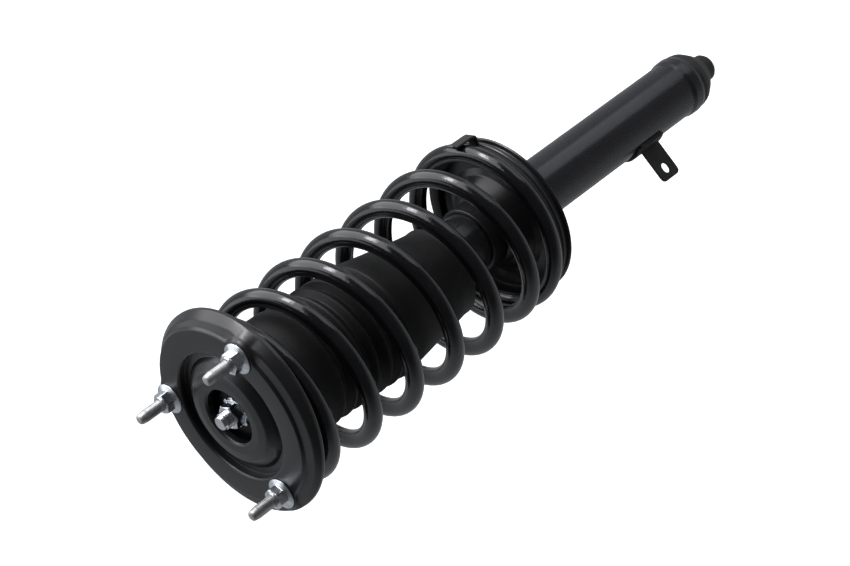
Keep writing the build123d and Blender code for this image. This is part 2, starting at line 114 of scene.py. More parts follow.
BOOT_END_R = 38.5
PLEAT_TOP_Z = -72.0
PLEAT_COUNT = 6
PLEAT_PITCH = 12.6
PLEAT_DEPTH = 5.5
TUBE_R = 25.5
TUBE_TOP_Z = -225.0
TUBE_END_Z = -560.0
SEAT_FLOOR_Z = -309.5
SEAT_LOW_Z = -321.0
PAD_T = 3.65
TAB_AZ = 2.3
TAB_W = 10.0
TAB_TOP_Z = -285.0
TAB_T = 2.0
BRACKET_AZ = -146.0
BRACKET_Z = -488.0
BRACKET_T = 2.6
BRACKET_HALF_W = 11.0
BRACKET_START = 26.4
BRACKET_REACH = 60.0
HOLE_AT = 50.0
HOLE_R = 3.6
HOLE_STRETCH = 1.1
FOOT_HALF_ARC = 28.0
FOOT_TOP = 23.0

# ---- stage ------------------------------------------------------------------------------------
# A light is a name, its place (across, up, towards the camera, metres from STAGE_TARGET), its
# two sides in metres, its watts and its colour.
STAGE_TARGET = (0.0, 0.0, -0.26)
FLOOR_R = 14.0
FLOOR_DROP = 0.004
FLOOR_GLOW = 0.95
SURROUND_TO = (-0.46, 0.69, -0.56)
SURROUND_DIM = 0.06
SURROUND_LIGHT = 0.38
SURROUND_EDGE = (-0.45, 0.25)
LIGHTS = (
    ("key", (-1.15, 1.15, 0.45), (2.2, 2.2), 34.0, (0.97, 0.97, 1.0)),
    ("streak", (-0.85, 1.3, 0.7), (0.3, 1.0), 11.0, (0.96, 0.95, 1.0)),
    ("side", (0.5, 1.6, 0.5), (1.2, 1.2), 4.0, (0.92, 0.96, 1.0)),
    ("left", (-1.7, -0.25, 0.15), (1.2, 1.2), 4.5, (0.93, 0.96, 1.0)),
)


# ---- node-material helpers -------------------------------------------------------------------
class Paint:
    """A small wrapper that builds one procedural material."""

    def __init__(self, name, color, rough, metal=0.0, specular=0.5):
        self.mat = bpy.data.materials.new(name)
        self.mat.use_nodes = True
        self.tree = self.mat.node_tree
        self.shader = self.tree.nodes["Principled BSDF"]
        self.shader.inputs["Base Color"].default_value = (*color, 1.0)
        self.shader.inputs["Roughness"].default_value = rough
        self.shader.inputs["Metallic"].default_value = metal
        self.shader.inputs["Specular IOR Level"].default_value = specular
        self.coord = self.add("ShaderNodeTexCoord").outputs["Object"]
        self.height = None

    def add(self, kind, **values):
        node = self.tree.nodes.new(kind)
        for key, value in values.items():
            setattr(node, key, value)
        return node

    def link(self, a, b):
        self.tree.links.new(a, b)

    def scaled(self, scale):
        """Object coordinates stretched by a scale per axis."""
        node = self.add("ShaderNodeMapping")
        node.inputs["Scale"].default_value = scale
        self.link(self.coord, node.inputs["Vector"])
        return node.outputs["Vector"]

    def noise(self, scale, detail=4.0, rough=0.55, vector=None):
        node = self.add("ShaderNodeTexNoise")
        node.inputs["Scale"].default_value = scale
        node.inputs["Detail"].default_value = detail
        node.inputs["Roughness"].default_value = rough
        self.link(vector or self.coord, node.inputs["Vector"])
        return node.outputs["Fac"]

    def voronoi(self, scale, feature="F1", vector=None):
        node = self.add("ShaderNodeTexVoronoi", feature=feature)
        node.inputs["Scale"].default_value = scale
        self.link(vector or self.coord, node.inputs["Vector"])
        return node.outputs["Distance"]

    def ramp(self, fac, stops):
        """Colour ramp; each stop is (place, grey or colour)."""
        node = self.add("ShaderNodeValToRGB")
        self.link(fac, node.inputs["Fac"])
        elements = node.color_ramp.elements
        while len(elements) < len(stops):
            elements.new(0.5)
        for element, (place, value) in zip(elements, stops):
            element.position = place
            color = value if isinstance(value, tuple) else (value, value, value)
            element.color = (*color, 1.0)
        return node.outputs["Color"]

    def mix(self, fac, a, b, blend="MIX"):
        node = self.add("ShaderNodeMix", data_type="RGBA", blend_type=blend)
        for socket, value in ((node.inputs[0], fac), (node.inputs[6], a), (node.inputs[7], b)):
            if isinstance(value, bpy.types.NodeSocket):
                self.link(value, socket)
            elif isinstance(value, tuple):
                socket.default_value = (*value, 1.0)
            else:
                socket.default_value = value
        return node.outputs[2]

    def math(self, kind, a, b=0.5):
        node = self.add("ShaderNodeMath", operation=kind)
        for socket, value in zip(node.inputs, (a, b)):
            if isinstance(value, bpy.types.NodeSocket):
                self.link(value, socket)
            else:
                socket.default_value = value
        return node.outputs[0]

    def color(self, socket):
        self.link(socket, self.shader.inputs["Base Color"])

    def rough(self, fac, low, high):
        node = self.add("ShaderNodeMapRange")
        self.link(fac, node.inputs["Value"])
        node.inputs["To Min"].default_value = low
        node.inputs["To Max"].default_value = high
        self.link(node.outputs["Result"], self.shader.inputs["Roughness"])

    def bump(self, fac, strength, distance):
        node = self.add("ShaderNodeBump")
        node.inputs["Strength"].default_value = strength
        node.inputs["Distance"].default_value = distance
        self.link(fac, node.inputs["Height"])
        if self.height is not None:
            self.link(self.height, node.inputs["Normal"])
        self.height = node.outputs["Normal"]
        self.link(self.height, self.shader.inputs["Normal"])

    def coat(self, weight, rough):
        self.shader.inputs["Coat Weight"].default_value = weight
        self.shader.inputs["Coat Roughness"].default_value = rough


def black_paint():
    """Satin black cathodic paint on pressed steel, with faint orange peel and dust."""
    m = Paint("black_paint", (0.014, 0.014, 0.015), 0.34, specular=0.5)
    cloud = m.noise(26.0, 5.0, 0.6)
    fine = m.noise(900.0, 3.0)
    base = m.ramp(cloud, [(0.3, (0.007, 0.007, 0.0078)), (0.7, (0.012, 0.012, 0.013))])
    speck = m.ramp(m.voronoi(420.0), [(0.0, 1.0), (0.06, 0.0)])
    base = m.mix(m.math("MULTIPLY", speck, 0.3), base, (0.12, 0.12, 0.125))
    m.color(base)
    m.rough(m.noise(60.0, 6.0), 0.24, 0.38)
    m.bump(m.noise(420.0, 2.0), 0.10, 0.0006)
    m.bump(fine, 0.08, 0.0002)
    m.coat(0.25, 0.22)
    return m.mat


def spring_paint():
    """Gloss black powder coat of the coil."""
    m = Paint("spring_paint", (0.005, 0.005, 0.006), 0.2, specular=0.5)
    m.color(m.ramp(m.noise(40.0, 4.0), [(0.3, (0.0035, 0.0035, 0.0045)), (0.75, (0.007, 0.007, 0.008))]))
    m.rough(m.noise(110.0, 5.0), 0.10, 0.22)
    m.bump(m.noise(330.0, 2.0), 0.14, 0.0008)
    m.bump(m.noise(1600.0, 2.0), 0.05, 0.0002)
    m.coat(0.35, 0.12)
    return m.mat


def tube_paint():
    """Satin dark grey paint over the drawn tube, with faint long draw marks."""
    m = Paint("tube_paint", (0.03, 0.03, 0.034), 0.36, specular=0.5)
    along = m.scaled((1.0, 1.0, 0.02))
    streak = m.noise(240.0, 5.0, 0.6, along)
    cloud = m.noise(18.0, 5.0, 0.6)
    base = m.ramp(cloud, [(0.3, (0.007, 0.0072, 0.009)), (0.7, (0.011, 0.0115, 0.0135))])
    m.color(m.mix(m.math("MULTIPLY", streak, 0.3), base, (0.018, 0.018, 0.021)))
    m.rough(m.noise(75.0, 6.0), 0.17, 0.28)
    m.bump(streak, 0.05, 0.0004)
    m.bump(m.noise(700.0, 2.0), 0.10, 0.0004)
    m.coat(0.2, 0.25)
    return m.mat


def matte_paint(name, tone):
    """Dull black paint of the end cap and the bracket."""
    m = Paint(name, (tone, tone, tone * 1.05), 0.5, specular=0.4)
    m.color(m.ramp(m.noise(60.0, 5.0), [(0.3, (tone * 0.8,) * 3), (0.75, (tone * 1.3,) * 3)]))
    m.rough(m.noise(120.0, 5.0), 0.42, 0.62)
    m.bump(m.noise(620.0, 3.0), 0.18, 0.0005)
    return m.mat


def rubber(name, tone, grain):
    """Matte moulded rubber with bloom and a fine grain."""
    m = Paint(name, (tone, tone, tone * 1.08), 0.6, specular=0.35)
    bloom = m.noise(34.0, 6.0, 0.65)
    dark = (tone * 0.75, tone * 0.75, tone * 0.82)
    light = (tone * 1.5, tone * 1.5, tone * 1.58)
    m.color(m.ramp(bloom, [(0.3, dark), (0.78, light)]))
    m.rough(m.noise(90.0, 5.0), 0.46, 0.68)
    m.bump(m.noise(grain, 3.0), 0.22, 0.0005)
    return m.mat


def zinc(name, color, rough_low, rough_high):
    """Bright zinc plating with fine spangle and handling marks."""
    m = Paint(name, color, rough_low, metal=1.0)
    blotch = m.noise(260.0, 6.0, 0.65)
    dark = tuple(c * 0.72 for c in color)
    m.color(m.ramp(blotch, [(0.3, dark), (0.62, color)]))
    m.rough(m.noise(520.0, 5.0), rough_low, rough_high)
    m.bump(m.noise(1500.0, 3.0), 0.10, 0.0003)
    return m.mat


def plain_steel():
    """Turned bare steel of the inner pieces."""
    m = Paint("plain_steel", (0.48, 0.48, 0.49), 0.32, metal=1.0)
    rings = m.noise(900.0, 3.0, 0.5, m.scaled((0.05, 0.05, 1.0)))
    m.color(m.ramp(rings, [(0.3, (0.36, 0.36, 0.37)), (0.7, (0.56, 0.56, 0.57))]))
    m.rough(rings, 0.24, 0.42)
    m.bump(rings, 0.12, 0.0003)
    return m.mat


def rod_chrome():
    """Hard chrome of the rod with a faint grinding lay."""
    m = Paint("rod_chrome", (0.74, 0.75, 0.77), 0.12, metal=1.0)
    lay = m.noise(1500.0, 3.0, 0.5, m.scaled((0.04, 0.04, 1.0)))
    m.color(m.ramp(lay, [(0.3, (0.66, 0.67, 0.69)), (0.7, (0.80, 0.81, 0.83))]))
    m.rough(lay, 0.08, 0.2)
    m.bump(lay, 0.05, 0.0002)
    return m.mat


def foam():
    """Microcellular polyurethane of the bump stop."""
    m = Paint("bump_foam", (0.42, 0.36, 0.22), 0.75, specular=0.3)
    m.color(m.ramp(m.noise(90.0, 6.0), [(0.3, (0.34, 0.29, 0.17)), (0.7, (0.50, 0.44, 0.29))]))
    m.bump(m.voronoi(900.0), 0.35, 0.0006)
    m.rough(m.noise(200.0), 0.65, 0.85)
    return m.mat


def band_plastic():
    """Bronze-filled PTFE band of the piston."""
    m = Paint("band_plastic", (0.20, 0.13, 0.07), 0.5, specular=0.4)
    m.color(m.ramp(m.noise(400.0, 5.0), [(0.3, (0.15, 0.09, 0.05)), (0.7, (0.26, 0.18, 0.10))]))
    m.rough(m.noise(300.0), 0.42, 0.6)
    m.bump(m.noise(900.0), 0.12, 0.0003)
    return m.mat


MATERIALS = {
    "black_paint": black_paint(),
    "spring_paint": spring_paint(),
    "tube_paint": tube_paint(),
    "cap_paint": matte_paint("cap_paint", 0.014),
    "bracket_paint": matte_paint("bracket_paint", 0.014),
    "rubber": rubber("rubber", 0.010, 700.0),
    "boot_rubber": rubber("boot_rubber", 0.005, 620.0),
    "bump_foam": foam(),
    "stud_zinc": zinc("stud_zinc", (0.62, 0.62, 0.61), 0.42, 0.58),
    "nut_zinc": zinc("nut_zinc", (0.86, 0.90, 0.95), 0.16, 0.32),
    "plain_steel": plain_steel(),
    "rod_chrome": rod_chrome(),
    "band_plastic": band_plastic(),
}


# ---- mesh helpers ------------------------------------------------------------------------------
def finish_piece(name, bm, slot, body, stands_for, sharp=None):
    """Turns a bmesh drawn in millimetres into a smooth piece that rides a body."""
    bmesh.ops.scale(bm, vec=(MM, MM, MM), verts=bm.verts)
    bmesh.ops.recalc_face_normals(bm, faces=bm.faces)
    mesh = bpy.data.meshes.new(name)
    bm.to_mesh(mesh)
    bm.free()
    mesh.polygons.foreach_set("use_smooth", [True] * len(mesh.polygons))
    if sharp:
        mesh.set_sharp_from_angle(angle=math.radians(sharp))
    piece = bpy.data.objects.new(name, mesh)
    bpy.context.scene.collection.objects.link(piece)
    mesh.materials.append(MATERIALS[slot])
    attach(piece, body)
    if stands_for:
        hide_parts(*stands_for)
    return piece


def rounded(points, steps=5):
    """Closed (radius, height, fillet) outline with each corner turned into an arc."""
    out = []
    count = len(points)
    for i in range(count):
        corner = Vector(points[i][:2])
        before = Vector(points[i - 1][:2]) - corner
        after = Vector(points[(i + 1) % count][:2]) - corner
        fillet = points[i][2]
        u, v = before.normalized(), after.normalized()
        half = math.acos(max(-1.0, min(1.0, u.dot(v)))) / 2.0
        straight = half > math.pi / 2.0 - 0.01
        reach = 0.0 if fillet <= 0.0 or straight else fillet / math.tan(half)
        reach = min(reach, before.length * 0.49, after.length * 0.49)
        start, end = corner + u * reach, corner + v * reach
        for k in range(steps + 1):
            t = k / steps
            out.append(start * (1 - t) ** 2 + corner * 2 * t * (1 - t) + end * t * t)
    return out


def polar_surface(outline_at, segments, at=(0.0, 0.0), bm=None):
    """Closed surface round an upright axis; outline_at(angle) is its outline there."""
    bm = bm or bmesh.new()
    rings = []
    for j in range(segments):
        a = TAU * j / segments
        c, s = math.cos(a), math.sin(a)
        rings.append([bm.verts.new((at[0] + p.x * c, at[1] + p.x * s, p.y)) for p in outline_at(a)])
    count = len(rings[0])
    for j in range(segments):
        a, b = rings[j], rings[(j + 1) % segments]
        for i in range(count):
            k = (i + 1) % count
            bm.faces.new((a[i], a[k], b[k], b[i]))
    bmesh.ops.remove_doubles(bm, verts=bm.verts, dist=1e-4)
    return bm


def lathe(points, segments=180, at=(0.0, 0.0), steps=5, bm=None):
    """Turned piece from a (radius, height, fillet) outline."""
    outline = rounded(points, steps)
    return polar_surface(lambda a: outline, segments, at, bm)


def stud_points():
    """Centres of the mount studs."""
    for i in range(3):
        a = math.radians(STUD_FIRST_AZ + 120.0 * i)
        yield STUD_CIRCLE_R * math.cos(a), STUD_CIRCLE_R * math.sin(a)


def smooth_step(t):
    t = max(0.0, min(1.0, t))
    return t * t * (3.0 - 2.0 * t)


# ---- mount ---------------------------------------------------------------------------------------
def rim_at(a):
    """Radius and height of the eccentric, tilted brim's edge in a direction."""
    along = RIM_X * math.cos(a) + RIM_Y * math.sin(a)
    r = along + math.sqrt(RIM_R ** 2 - RIM_X ** 2 - RIM_Y ** 2 + along ** 2)
    low = math.radians(RIM_LOW_AZ)
    out = r * math.cos(a - low) - RIM_X * math.cos(low) - RIM_Y * math.sin(low)
    return r, RIM_Z - math.tan(math.radians(RIM_TILT)) * out


def face_edge(a, rim_r):
    """Outer radius of the flat face, which bulges round each stud."""
    r = FACE_R
    for x, y in stud_points():
        off = (a - math.atan2(y, x) + math.pi) % TAU - math.pi
        across = STUD_CIRCLE_R * math.sin(off)
        if abs(off) < 0.4 and abs(across) < STUD_PAD_R:
            bulge = STUD_CIRCLE_R * math.cos(off) + math.sqrt(STUD_PAD_R ** 2 - across ** 2)
            r = max(r, bulge)
    return min(r, rim_r - 3.4)


def make_mount_face():
    """Pressed plate: lip, stud face, crease, brim and rolled edge."""
    edges = []
    steps = 360
    for j in range(steps):
        a = TAU * j / steps
        edges.append(face_edge(a, rim_at(a)[0]))
    for _ in range(6):
        edges = [(edges[j - 1] + 2.0 * edges[j] + edges[(j + 1) % steps]) / 4.0 for j in range(steps)]

    def outline(a):
        rim_r, rim_z = rim_at(a)
        edge = edges[round(a / TAU * steps) % steps]
        dip = min(2.4, -0.42 * rim_z)
        crown_r = max(edge + 2.6, rim_r - 4.6)
        crown_z = -dip - 0.16 * max(0.0, -dip - rim_z)
        return rounded([
            (OPENING_R, -6.0, 0.3), (OPENING_R, 0.0, 2.4), (edge, 0.0, 1.6), (edge + 1.3, -dip, 0.8),
            (crown_r, crown_z, 4.0), (rim_r, rim_z + 0.6, 2.2), (rim_r, rim_z - 3.6, 2.0),
            (rim_r - 4.2, rim_z - 3.6, 1.4), (rim_r - 4.0, rim_z - 1.8, 0.8),
            (edge + 0.4, -dip - 2.8, 0.8), (edge - 2.0, -3.0, 0.8), (58.0, -3.0, 1.0), (57.4, -6.0, 0.3),
        ])

    bm = polar_surface(outline, steps)
    return finish_piece("mount_face", bm, "black_paint", "top_mount", ["mount_plate"])


def make_mount_rest():
    """Dome, cushion, base pressing, bushing and upper pad."""
    dome = lathe([
        (61.5, -6.0, 0.3), (61.5, -8.0, 0.3), (56.0, -9.0, 1.0), (45.5, -9.0, 1.4), (45.5, -4.2, 2.0),
        (40.5, -1.4, 4.0), (27.5, -0.5, 1.6), (25.4, -2.0, 1.0), (25.4, -5.0, 0.3), (23.5, -5.0, 0.3),
        (23.5, 0.0, 1.2), (25.2, 1.5, 1.4), (32.0, 1.6, 8.0), (39.5, 0.6, 5.0), (46.0, -3.8, 5.0),
        (49.0, -7.0, 1.6), (54.9, -7.0, 0.5), (54.9, -6.2, 0.1), (55.4, -6.0, 0.1),
    ], segments=240)
    finish_piece("dome_cover", dome, "black_paint", "top_mount", ["mount_cup"])
    base = lathe([
        (42.0, -9.0, 1.4), (75.0, -9.0, 0.8), (75.0, -11.0, 0.8), (44.0, -11.0, 2.0), (44.0, -30.5, 2.4),
        (29.0, -30.5, 0.4), (29.0, -28.5, 0.4), (42.0, -28.5, 1.0),
    ], segments=240)
    finish_piece("base_pressing", base, "black_paint", "top_mount", ["mount_base"])
    cushion = lathe([
        (62.0, -3.0, 0.5), (69.4, -3.0, 1.2), (70.0, -6.0, 1.5), (69.4, -9.0, 1.2), (62.0, -9.0, 0.5),
    ])
    finish_piece("cushion_ring", cushion, "rubber", "top_mount", ["mount_cushion"])
    bushing = lathe([
        (12.55, -9.0, 0.8), (20.0, -9.6, 3.0), (28.0, -12.5, 6.0), (39.5, -9.0, 1.0), (41.9, -11.0, 1.0),
        (41.9, -28.5, 0.5), (26.0, -28.5, 1.0), (17.5, -23.5, 2.0), (12.55, -27.5, 1.0),
    ])
    finish_piece("bushing_rubber", bushing, "rubber", "top_mount", ["mount_bushing"])
    pad = lathe([(60.0, -11.02, 0.3), (75.5, -11.02, 0.9), (75.5, -13.5, 0.9), (60.0, -13.5, 0.6)])
    finish_piece("upper_pad_rubber", pad, "rubber", "spring_top", ["upper_pad"])


def thread_radius(radius, depth, z, a):
    """Radius of a right-hand V thread at a height and angle."""
    phase = (z / THREAD_PITCH - a / TAU) % 1.0
    return radius - depth * (1.0 - abs(2.0 * phase - 1.0))


def make_studs():
    """Studs with a shallow thread, a tapered shoulder and a rounded point."""
    bm = bmesh.new()
    count = int((STUD_THREAD_END_Z - NUT_H) * THREAD_STEPS / THREAD_PITCH) + 1
    levels = [NUT_H + i * THREAD_PITCH / THREAD_STEPS for i in range(count)]
    tip = [(0.0, STUD_TIP_Z), (2.0, STUD_TIP_Z), (3.0, 33.3), (3.75, 32.8), (4.2, 32.0), (4.45, 31.0),
           (4.6, 29.8), (4.75, 28.8), (4.9, 27.9)]
    shank = [(5.2, NUT_H - 0.1), (5.2, -3.0), (7.5, -3.0), (7.5, -6.0), (0.0, -6.0)]

    def outline(a):
        points = [Vector(p) for p in tip]
        for z in reversed(levels):
            fade = min(1.0, (STUD_THREAD_END_Z - z) / 2.0 + 0.1)
            points.append(Vector((thread_radius(STUD_R, STUD_THREAD_DEPTH * fade, z, a), z)))
        return points + [Vector(p) for p in shank]

    for at in stud_points():
        polar_surface(outline, 64, at, bm)
    return finish_piece("stud_set", bm, "stud_zinc", "top_mount", ["mount_studs"], sharp=50.0)


def hex_radius(flats, a, corner_cut):
    """Radius of a hexagon in a direction, with slightly rounded corners."""
    off = (a % (math.pi / 3.0)) - math.pi / 6.0
    plain = flats / 2.0 / math.cos(off)
    limit = flats / math.sqrt(3.0) - corner_cut
    if plain < limit - corner_cut:
        return plain
    return limit - (limit + corner_cut - plain) ** 2 / (4.0 * corner_cut)


def nut_outline(a, flats, flange_r, height, bore):
    """Outline of a flanged hexagon nut with chamfered crests and a collar, from z = 0."""
    wall = hex_radius(flats, a, 0.18)
    crest = height - 0.9 - 0.62 * (wall - flats / 2.0)
    foot = 1.3 + (flange_r - wall) * 0.34
    collar = flats / 2.0 - 1.1
    return rounded([
        (bore, 0.0, 0.2), (flange_r - 0.5, 0.0, 0.3), (flange_r, 0.5, 0.3), (flange_r, 1.3, 0.5),
        (wall, foot, 0.5), (wall, crest, 0.25), (flats / 2.0 - 0.5, height - 0.9, 0.15),
        (collar, height - 0.9, 0.2), (collar - 0.2, height, 0.2), (bore + 0.6, height, 0.2),
        (bore, height - 0.6, 0.2),
    ], 3)


def make_nuts():
    """Flanged stud nuts, each turned to its own angle."""
    bm = bmesh.new()
    for turn, at in zip(NUT_TURNS, stud_points()):
        polar_surface(lambda a: nut_outline(a + turn, NUT_AF, NUT_FLANGE_R, NUT_H, STUD_BORE_R), 180, at, bm)
    return finish_piece("flange_nut_set", bm, "nut_zinc", "top_mount", ["stud_nuts"], sharp=28.0)


def make_rod():
    """Rod with a turned tip and a threaded neck, down to the piston."""
    levels = [2.0 + i * THREAD_PITCH / THREAD_STEPS for i in range(int(5.6 * THREAD_STEPS / THREAD_PITCH))]
    tip = [(0.0, 10.5), (4.9, 10.5), (5.5, 10.2), (5.9, 9.6), (5.95, 8.0), (6.4, 7.5)]
    rest = [(ROD_TIP_R, 1.9), (ROD_TIP_R, -33.6), (7.4, -34.0), (ROD_R - 0.4, -34.0), (ROD_R, -34.4),
            (ROD_R, -268.0), (ROD_R - 0.4, -268.4), (6.0, -268.5), (6.0, -294.6), (5.2, -295.5),
            (0.0, -295.5)]

    def outline(a):
        points = [Vector(p) for p in tip]
        points += [Vector((thread_radius(ROD_TIP_R, ROD_THREAD_DEPTH, z, a), z)) for z in reversed(levels)]
        return points + [Vector(p) for p in rest]

    rod = polar_surface(outline, 96)
    finish_piece("rod_shaft", rod, "rod_chrome", "top_mount", ["piston_rod"], sharp=50.0)


def make_rod_end():
    """Nut on the rod, the lobed washer under it and the foam stop below."""
    def nut(a):
        wall = hex_radius(ROD_NUT_AF, a + ROD_NUT_TURN, 0.2)
        crest = 2.0 - 0.6 * (wall - ROD_NUT_AF / 2.0)
        return rounded([
            (7.1, -6.0, 0.2), (wall - 0.4, -6.0, 0.2), (wall, -5.6, 0.2), (wall, crest - 0.4, 0.25),
            (ROD_NUT_AF / 2.0 - 0.3, 2.0, 0.2), (8.0, 2.0, 0.3), (7.1, 1.3, 0.2),
        ], 3)

    nut_bm = polar_surface(nut, 180)
    finish_piece("rod_end_nut", nut_bm, "nut_zinc", "top_mount", ["rod_nut"], sharp=28.0)

    def washer(a):
        lobe = WASHER_R + WASHER_LOBE * smooth_step((math.cos(WASHER_LOBES * a) + 0.35) / 1.1)
        return rounded([(7.1, -8.0, 0.2), (lobe, -8.0, 0.5), (lobe, -6.0, 0.6), (7.1, -6.0, 0.2)], 3)

    finish_piece("lobed_washer", polar_surface(washer, 240), "nut_zinc", "top_mount", ["rod_washer"])
    stop = lathe([
        (10.3, -34.0, 0.5), (23.0, -34.0, 1.5), (23.0, -41.5, 4.0), (18.6, -49.5, 5.0), (22.0, -58.0, 4.0),
        (22.0, -66.0, 4.0), (17.0, -74.5, 5.0), (20.0, -83.0, 4.0), (17.8, -92.5, 3.0), (13.5, -99.0, 2.0),
        (10.3, -99.0, 0.5),
    ])
    finish_piece("bump_foam_body", stop, "bump_foam", "top_mount", ["bump_stop"])


# ---- coil spring and boot ------------------------------------------------------------------------
def spring_height(turns):
    """Height of the wire's centre after a number of turns from the lower end."""
    low = SPRING_END_Z + WIRE_R
    rise = SPRING_TOP_Z - WIRE_R - low
    pitch = rise / (FREE_TURNS + END_BLEND)
    start = turns - END_FLAT_LOW
    if start <= 0.0:
        return low
    if start <= END_BLEND:
        return low + pitch * start * start / (2.0 * END_BLEND)
    if start <= END_BLEND + FREE_TURNS:
        return low + pitch * (start - END_BLEND / 2.0)
    left = max(0.0, 2.0 * END_BLEND + FREE_TURNS - start)
    return low + rise - pitch * left * left / (2.0 * END_BLEND)


def coil_point(turns):
    """Centre of the wire after a number of turns; the free coils hang a little to one side."""
    a = math.radians(SPRING_END_AZ) + TAU * turns
    free = smooth_step((turns - 1.1) / 1.2) * smooth_step((SPRING_TURNS - turns) / 0.9)
    side = sideways(COIL_SAG * free)
    return Vector((COIL_R * math.cos(a), COIL_R * math.sin(a), spring_height(turns))) + side


def sideways(distance):
    """Step across the axis in the direction that the soft pieces hang."""
    a = math.radians(SAG_AZ)
    return Vector((distance * math.cos(a), distance * math.sin(a), 0.0))


def make_spring():
    """Round wire swept along the coil, with eased cut ends."""
    per_turn, sides = 110, 36
    count = int(SPRING_TURNS * per_turn)
    bm = bmesh.new()
    rings = []
    for i in range(count + 1):
        turns = SPRING_TURNS * i / count
        step = 0.5 / per_turn
        ahead = coil_point(min(SPRING_TURNS, turns + step))
        along = (ahead - coil_point(max(0.0, turns - step))).normalized()
        p = coil_point(turns)
        out = Vector((p.x, p.y, 0.0)).normalized()
        up = along.cross(out).normalized()
        edge = min(i, count - i)
        radius = WIRE_R + (WIRE_SKIN_R - WIRE_R) * min(1.0, edge / per_turn)
        radius *= 0.88 if edge == 0 else 1.0
        ring = []
        for k in range(sides):
            b = TAU * k / sides
            ring.append(bm.verts.new(p + (out * math.cos(b) + up * math.sin(b)) * radius))
        rings.append(ring)
    for a, b in zip(rings, rings[1:]):
        for k in range(sides):
            n = (k + 1) % sides
            bm.faces.new((a[k], a[n], b[n], b[k]))
    bm.faces.new(list(reversed(rings[0])))
    bm.faces.new(rings[-1])
    spring = finish_piece("spring_wire", bm, "spring_paint", "spring_top", ["coil_spring"], sharp=40.0)
    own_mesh(spring)


def boot_line():
    """Closed section of the boot: neck, pleats, skirt and hem, cut into short steps."""
    r = BOOT_R
    outer = [(57.0, BOOT_TOP_Z, 0.4), (57.0, BOOT_TOP_Z - BOOT_T, 0.4), (r, BOOT_TOP_Z - BOOT_T, 1.2),
             (r, PLEAT_TOP_Z, 3.0)]
    inner = [(r - BOOT_T, BOOT_TOP_Z, 0.4), (r - BOOT_T, PLEAT_TOP_Z, 3.0)]
    for i in range(PLEAT_COUNT):
        z = PLEAT_TOP_Z - i * PLEAT_PITCH
        for points, inset in ((outer, 0.0), (inner, BOOT_T)):
            points.append((r - PLEAT_DEPTH - inset, z - PLEAT_PITCH * 0.42, 2.2))
            points.append((r - PLEAT_DEPTH - inset, z - PLEAT_PITCH * 0.58, 2.2))
            points.append((r - 0.3 - inset, z - PLEAT_PITCH * 0.88, 2.0))
            points.append((r - 0.3 - inset, z - PLEAT_PITCH * 1.06, 2.0))
    outer += [(BOOT_END_R + 1.2, BOOT_END_Z + 6.0, 2.0), (BOOT_END_R + 1.4, BOOT_END_Z, 0.5)]
    hem_r = BOOT_END_R - BOOT_T + 1.2
    inner += [(hem_r, BOOT_END_Z + 6.0, 1.0), (hem_r, BOOT_END_Z, 0.5)]
    line = rounded(outer + list(reversed(inner)), 6)
    fine = []
    for p, q in zip(line, line[1:] + line[:1]):
        parts = max(1, int((q - p).length / 4.0))
        fine += [p.lerp(q, k / parts) for k in range(parts)]
    return fine


def make_boot():
    """Moulded boot with soft waves and a mould line, its free end hanging to one side."""
    line = boot_line()

    def outline(a):
        out = []
        mould = math.exp(-((math.sin(a - 0.9) / 0.012) ** 2))
        for p in line:
            soft = smooth_step((-60.0 - p.y) / 170.0)
            spot = Vector((math.cos(a) * 1.3, math.sin(a) * 1.3, p.y / 34.0))
            bulge = 0.55 * soft * noise.noise(spot) + 0.22 * mould
            out.append(Vector((p.x + bulge, p.y)))
        return out

    bm = polar_surface(outline, 288)
    for vert in bm.verts:
        vert.co += sideways(BOOT_SAG * smooth_step((BOOT_TOP_Z - 20.0 - vert.co.z) / 190.0))
    boot = finish_piece("boot_skin", bm, "boot_rubber", "spring_top", ["dust_boot"])
    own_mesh(boot)


# ---- damper --------------------------------------------------------------------------------------
def make_damper():
    """Tube with its rolled bead, striker cap and end cap."""
    tube = lathe([
        (23.2, TUBE_TOP_Z, 0.3), (TUBE_R, TUBE_TOP_Z, 0.5), (TUBE_R, -544.2, 4.0), (26.9, -548.2, 3.4),
        (27.1, -556.0, 2.6), (26.3, TUBE_END_Z, 1.2), (23.2, TUBE_END_Z, 0.3),
    ], segments=240)
    finish_piece("tube_shell", tube, "tube_paint", "strut_body", ["strut_tube"])
    cap = lathe([
        (11.0, -222.5, 0.4), (27.2, -222.5, 1.8), (27.2, -237.0, 0.6), (25.6, -237.0, 0.3),
        (25.6, -225.0, 0.3), (11.0, -225.0, 0.3),
    ], segments=240)
    finish_piece("striker_cap", cap, "black_paint", "strut_body", ["tube_cap"])
    end = lathe([
        (0.0, -549.0, 0.0), (23.1, -549.0, 0.3), (23.1, -560.1, 0.2), (25.7, -560.2, 0.6),
        (26.0, -563.6, 1.4), (24.9, -568.2, 3.0), (19.9, -576.2, 3.4), (14.4, -583.2, 2.4),
        (12.4, -585.0, 1.0), (12.2, -592.2, 2.2), (9.8, -595.6, 2.0), (6.0, -596.0, 1.0),
        (5.0, -595.2, 0.6), (0.0, -595.0, 0.0),
    ], segments=200)
    finish_piece("cap_cone", end, "cap_paint", "strut_body", ["end_cap"])


